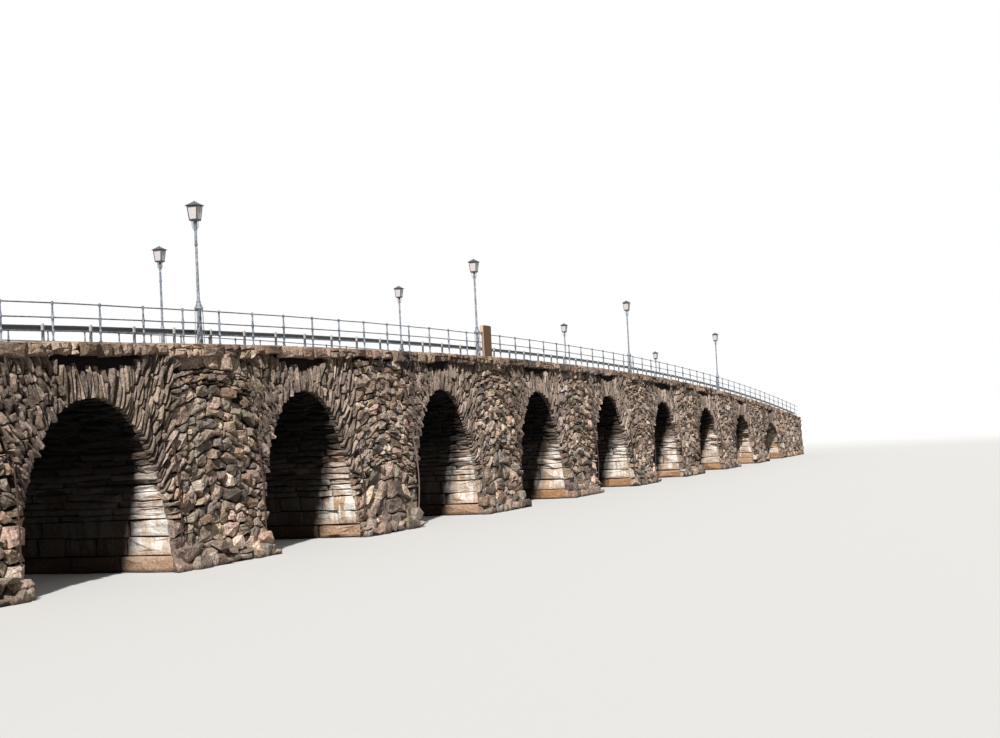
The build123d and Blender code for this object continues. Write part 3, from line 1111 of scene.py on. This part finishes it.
black_paint = paint("black_paint", "#141518", "#2b2c30", "#3b2a22", 0.45, 0.4)
guard_paint = paint("guard_post_paint", "#5f6367", "#94989c", "#6a5142", 0.6, 0.7)
cap_paint = paint("pale_head_paint", "#a6a5a3", "#c6c4c0", "#8a7767", 0.7, 0.7)
inner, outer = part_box("guard_beam_back")[0].y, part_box("guard_beam_back")[1].y
beam_section = [
    (inner, 0.0365), (inner + 0.0008, 0.036), (outer - 0.001, 0.036), (outer, 0.037), (outer, 0.0408),
    (outer - 0.0014, 0.0416), (outer - 0.0014, 0.0442), (outer, 0.045), (outer, 0.050),
    (outer - 0.001, 0.051), (inner + 0.0008, 0.051), (inner, 0.0502),
]
guard_line = (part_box("guard_posts_back")[0].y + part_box("guard_posts_back")[1].y) / 2
guard_height = 0.056
# each length of a post: its foot and head, half its width at each, and its paint
guard_lengths = (
    (0.0, 0.036, 0.0034, 0.0034, 0), (0.036, 0.0535, 0.0034, 0.0034, 1),
    (0.0535, guard_height, 0.0034, 0.0022, 1),
)
for side, hand in sides.items():
    work = Shape()
    run_along(work, [(x, 0) for x in chord_ends], beam_section, hand)
    beam = work.make(f"guard_beam_{side}_steel", [black_paint])
    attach(beam, "root")
    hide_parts(f"guard_beam_{side}")

    draw = random.Random(f"guard posts {side}")
    work = Shape()
    for x in post_places:
        lean = draw.uniform(-0.0012, 0.0012)
        for bottom, head, half_low, half_high, kind in guard_lengths:
            points = [
                (x + lean * level / guard_height + i * half, hand * (guard_line + j * half),
                 road_height(x) + level)
                for level, half in ((bottom, half_low), (head, half_high)) for i, j in square
            ]
            work.add_rings(points, 4, grey(draw.uniform(0.8, 1.1)), kind)
    posts = work.make(f"guard_posts_{side}_short", [guard_paint, cap_paint])
    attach(posts, "root")
    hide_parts(f"guard_posts_{side}")

# Railings: turned cast-iron posts with a knob at each rail, leaded into the coping,
# and three round rails that run through the knobs.
iron_paint = paint("grey_blue_paint", "#464d55", "#9ba5ae", "#5d4a3f", 0.5, 0.75)
post_line, rail_line = 0.4385, 0.4358
rail_heights = (0.031, 0.071, 0.113)
rail_radius = 0.0021
rail_places = sorted([
    -bridge_end, bridge_end, *post_places,
    *(x + post_pitch / 2 for x in post_places if x + post_pitch / 2 < bridge_end),
])
slab_room = 0.004
post_profile = [
    (0.0, 0.0052), (0.003, 0.0052), (0.0042, 0.0036), (0.009, 0.0027), (0.020, 0.0029), (0.0255, 0.0040),
    (0.031, 0.0056), (0.0355, 0.0042), (0.039, 0.0029), (0.048, 0.0034), (0.058, 0.0037), (0.0655, 0.0040),
    (0.071, 0.0058), (0.0765, 0.0042), (0.080, 0.0035), (0.090, 0.0031), (0.103, 0.0024), (0.1085, 0.0036),
    (0.113, 0.0052), (0.117, 0.0042), (0.1192, 0.0018),
]


def turn_round(work, foot, profile, count, colour=grey(1.0), kind=0, flute=1.0):
    """Adds a turned shape: a profile of heights and radii, carried round an upright axis,
    with every other point drawn in where it is fluted."""
    x, y, z = foot
    turns = [(math.tau * n / count, 1.0 if n % 2 else flute) for n in range(count)]
    points = [
        (x + radius * depth * math.cos(turn), y + radius * depth * math.sin(turn), z + height)
        for height, radius in profile for turn, depth in turns
    ]
    work.add_rings(points, count, colour, kind)


for side, hand in sides.items():
    draw = random.Random(f"railing {side}")
    work = Shape()
    for x in post_places:
        if side == "front" and slab_low.x - slab_room < x < slab_high.x + slab_room:
            continue
        foot = (x, hand * post_line, road_height(x) - coping_skin)
        turn_round(work, foot, post_profile, 10, grey(draw.uniform(0.75, 1.25)))
    posts = work.make(f"railing_posts_{side}_turned", [iron_paint], round_under=50)
    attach(posts, "root")
    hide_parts(f"railing_posts_{side}")

    work = Shape()
    for height in rail_heights:
        section = [
            (rail_line + rail_radius * math.cos(turn), height + rail_radius * math.sin(turn))
            for turn in (math.tau * n / 8 for n in range(8))
        ]
        run_along(work, [(x, draw.uniform(-0.0005, 0.0004)) for x in rail_places], section, hand, grey(0.8))
    rails = work.make(f"rails_{side}_round", [iron_paint], round_under=50)
    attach(rails, "root")
    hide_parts(f"rails_{side}")

# Lamp posts: cast-iron columns on fluted bases with four slender corner shafts under
# a stepped collar, carrying four-sided lanterns on scrolled brackets. The milky panes
# are held by narrow bars under a hipped roof.
lamp_paint = paint("pale_grey_paint", "#5f6771", "#a9acb2", "#6b5a4c", 0.5, 0.8)
roof_paint = paint("dark_roof_paint", "#353c44", "#565d63", "#4d4038", 0.45, 0.5)
lamp_bays = {"front": (-4, -2, -0.07, 2, 4), "back": (-3.2, -1.2, 0.63, 2.89, 4.89)}
lamp_line = 0.4185
plinth = [(0.0, 0.0118), (0.005, 0.0118), (0.0062, 0.0108)]
fluted_base = [(0.006, 0.0112), (0.012, 0.0109), (0.100, 0.0080), (0.119, 0.0084)]
flutes, flute_depth = 10, 0.84
corner_foot, corner_head, corner_height, corner_radius = (0.0138, 0.0102), (0.0100, 0.0086), 0.120, 0.0013
collar = [(0.118, 0.0115), (0.1195, 0.0138), (0.121, 0.0152), (0.1255, 0.0155), (0.127, 0.0148)]
column = [
    (0.127, 0.0148), (0.1285, 0.0125), (0.133, 0.0102), (0.140, 0.0078), (0.143, 0.0072), (0.1445, 0.0080),
    (0.1465, 0.0080), (0.148, 0.0060), (0.153, 0.0056), (0.160, 0.0052), (0.338, 0.0043), (0.3395, 0.0060),
    (0.3445, 0.0060), (0.346, 0.0047), (0.400, 0.0046), (0.4015, 0.0062), (0.405, 0.0062), (0.4065, 0.0048),
    (0.416, 0.0052), (0.420, 0.0075), (0.424, 0.0095),
]
shaft_height = 0.424
scroll = [
    (0.0042, -0.036), (0.0062, -0.030), (0.0105, -0.023), (0.0128, -0.015), (0.0122, -0.006), (0.0132, 0.0),
]
scroll_radius = 0.0012
plate_thickness = 0.003
lantern_foot, lantern_head, lantern_height = 0.015, 0.020, 0.049
bar_inset, bar_half, foot_rail_level = 0.0012, 0.0013, 0.0042
head_inset, head_half = 0.001, 0.0014
eaves = 0.024
roof_profile = [
    (eaves - 0.0012, -0.0012), (eaves, 0.0), (eaves, 0.0014), (eaves * 0.5, 0.0085), (0.0025, 0.015),
]
finial_foot = 0.0145
finial = [(0, 0.0022), (0.0008, 0.0014), (0.002, 0.0019), (0.0032, 0.0008)]


def bar(work, start, end, half):
    """Adds a square bar between two points."""
    start, end = Vector(start), Vector(end)
    along = (end - start).normalized()
    aside = along.orthogonal() if abs(along.z) < 0.5 else Vector((0, 1, 0)).cross(along)
    aside.normalize()
    across = along.cross(aside)
    points = [
        tuple(point + aside * i * half + across * j * half)
        for point in (start, end) for i, j in square
    ]
    work.add_rings(points, 4, kind=1)


def tube(work, line, radius, colour=grey(1.0)):
    """Adds a round bar along a line of points."""
    line = [Vector(point) for point in line]
    turns = [math.tau * k / 6 for k in range(6)]
    points = []
    for n, point in enumerate(line):
        along = (line[min(n + 1, len(line) - 1)] - line[max(n - 1, 0)]).normalized()
        aside = along.cross(Vector((0.31, 0.95, 0.02))).normalized()
        across = along.cross(aside)
        points += [
            tuple(point + (aside * math.cos(turn) + across * math.sin(turn)) * radius) for turn in turns
        ]
    work.add_rings(points, len(turns), colour)


for side, hand in sides.items():
    work = Shape()
    for share in lamp_bays[side]:
        x, y, z = share * bay, hand * lamp_line, road_height(share * bay)
        turn_round(work, (x, y, z - coping_skin), plinth, 8)
        turn_round(work, (x, y, z), fluted_base, 2 * flutes, flute=flute_depth)
        for i in (-1, 1):
            for j in (-1, 1):
                foot = (x + i * corner_foot[0], y + j * corner_foot[1], z)
                head = (x + i * corner_head[0], y + j * corner_head[1], z + corner_height)
                tube(work, [foot, head], corner_radius)
        turn_round(work, (x, y, z), collar, 16)
        turn_round(work, (x, y, z), column, 12)
        base = z + shaft_height
        for i, j in ((1, 0), (0, 1), (-1, 0), (0, -1)):
            tube(work, [(x + i * out, y + j * out, base + up) for out, up in scroll], scroll_radius)

        def corners(half, level, x=x, y=y):
            """The corners of the lantern's square at a level."""
            return [(x + i * half, y + j * half, level) for i, j in square]

        work.add_rings(corners(lantern_foot, base) + corners(lantern_foot, base + plate_thickness), 4, kind=1)
        top = base + plate_thickness + lantern_height
        feet = corners(lantern_foot - bar_inset, base + plate_thickness)
        heads = corners(lantern_head - bar_inset, top)
        top_rail = corners(lantern_head - head_inset, top - head_inset)
        foot_rail = corners(lantern_foot - bar_inset, base + foot_rail_level)
        for n in range(4):
            bar(work, feet[n], heads[n], bar_half)
            bar(work, top_rail[n], top_rail[(n + 1) % 4], head_half)
            bar(work, foot_rail[n], foot_rail[(n + 1) % 4], bar_half)
        roof = [point for half, up in roof_profile for point in corners(half, top + up)]
        work.add_rings(roof, 4, kind=1)
        turn_round(work, (x, y, top + finial_foot), finial, 8, kind=1)
    lamps = work.make(f"lamp_posts_{side}_cast", [lamp_paint, roof_paint], round_under=35)
    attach(lamps, "root")
    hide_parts(f"lamp_posts_{side}")

milk_glass, tree, shader, place = new_material("milky_glass", 0.3)
# dirt in clouds of about 0.1 m on the real pane
dirt = between(tree, noise(tree, place, 0.01), 0.4, 0.7, 0.35)
tree.links.new(blend(tree, dirt, srgb("#dbd2cd"), srgb("#b9aca6")), shader.inputs["Base Color"])
shader.inputs["Transmission Weight"].default_value = 0.15
for side in sides:
    pane_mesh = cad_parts[f"lantern_panes_{side}"].data
    pane_mesh.materials.clear()
    pane_mesh.materials.append(milk_glass)

# Rods: wrought-iron bars let into the piers beside their arrises. They have rusted,
# and some have sprung away from the wall.
rusty_iron, tree, shader, place = new_material("rusty_wrought_iron", 0.9)
# rust flakes of about 40 mm on the real bar
flakes = noise(tree, place, 0.004, 6.0, 0.7)
result = blend(tree, between(tree, flakes, 0.35, 0.65), srgb("#271c17"), srgb("#523a2c"))
dress(tree, shader, times(tree, result, own_colour(tree)), flakes, 0.5, 0.0006)
rod_bottom, rod_length, rod_inset = 0.080, 0.320, 0.025
rod_radius, rod_steps = 0.0026, 8
rod_off, rod_in = 0.004, -0.010
rod_tones = (grey(1.0), grey(0.8), grey(1.3), (3.6, 4.6, 5.6, 1.0))
for side, hand in sides.items():
    draw = random.Random(f"rods {side}")
    work = Shape()
    for x in pier_places.values():
        for edge in (-1, 1):
            place_x = x + edge * (pier_half - rod_inset)
            bend, lean = draw.uniform(-0.006, 0.006), draw.uniform(-0.004, 0.004)
            bow = draw.uniform(0.002, 0.014)
            line = []
            for n in range(rod_steps + 1):
                share = n / rod_steps
                z = rod_bottom + rod_length * share
                off = rod_off + bow * math.sin(math.pi * share)
                line.append((place_x + lean * (share - 0.5) + bend * math.sin(math.pi * share),
                             hand * (face_line(z) + off), z))
            # both ends are let into the wall
            low, high = rod_bottom, rod_bottom + rod_length
            line.insert(0, (line[0][0], hand * (face_line(low) + rod_in), low + 0.001))
            line.append((line[-1][0], hand * (face_line(high) + rod_in), high - 0.001))
            tube(work, line, rod_radius, draw.choice(rod_tones))
    rods = work.make(f"iron_rods_{side}_bars", [rusty_iron])
    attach(rods, "root")
    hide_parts(f"iron_rods_{side}")

# Studio: a pale floor at the foot of the piers that brightens to white far off, a
# soft sun from the left that rakes along the wall, and a white world.
floor_half = 400


def seen_straight(tree):
    """Whether a surface is seen by the camera, in a reflection or through glass."""
    path = add_node(tree, "LightPath").outputs
    seen = maths(tree, "MAXIMUM", path["Is Camera Ray"], path["Is Glossy Ray"])
    return maths(tree, "MAXIMUM", seen, path["Is Transmission Ray"])


floor_mesh = bpy.data.meshes.new("floor")
floor_mesh.from_pydata([(i * floor_half, j * floor_half, 0) for i, j in square], [], [(0, 1, 2, 3)])
floor = bpy.data.objects.new("floor", floor_mesh)
bpy.context.scene.collection.objects.link(floor)
floor_material, tree, shader, place = new_material("pale_floor", 0.9)
away = add_node(tree, "VectorMath", {0: place}, operation="LENGTH").outputs["Value"]
pale = blend(tree, between(tree, away, 11, 30), srgb("#cfcdc9"), grey(1.0))
tree.links.new(blend(tree, seen_straight(tree), srgb("#6d6a66"), pale), shader.inputs["Base Color"])
floor_mesh.materials.append(floor_material)
floor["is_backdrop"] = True

sun_data = bpy.data.lights.new("sun", "SUN")
sun_data.energy = 5.2
sun_data.angle = math.radians(1.5)
sun = bpy.data.objects.new("sun", sun_data)
sun_from = Vector((-0.93, -0.29, 0.80))
sun.rotation_mode = "QUATERNION"
sun.rotation_quaternion = sun_from.to_track_quat("Z", "Y")
bpy.context.scene.collection.objects.link(sun)

world = bpy.data.worlds.new("studio")
bpy.context.scene.world = world
world.use_nodes = True
tree = world.node_tree
background = tree.nodes["Background"]
fill_light = 0.25
tree.links.new(between(tree, seen_straight(tree), 0.0, 1.0, 1.0, fill_light), background.inputs["Strength"])
background.inputs["Color"].default_value = (1, 1, 1, 1)

bpy.context.scene.view_settings.view_transform = "Standard"
low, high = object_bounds()
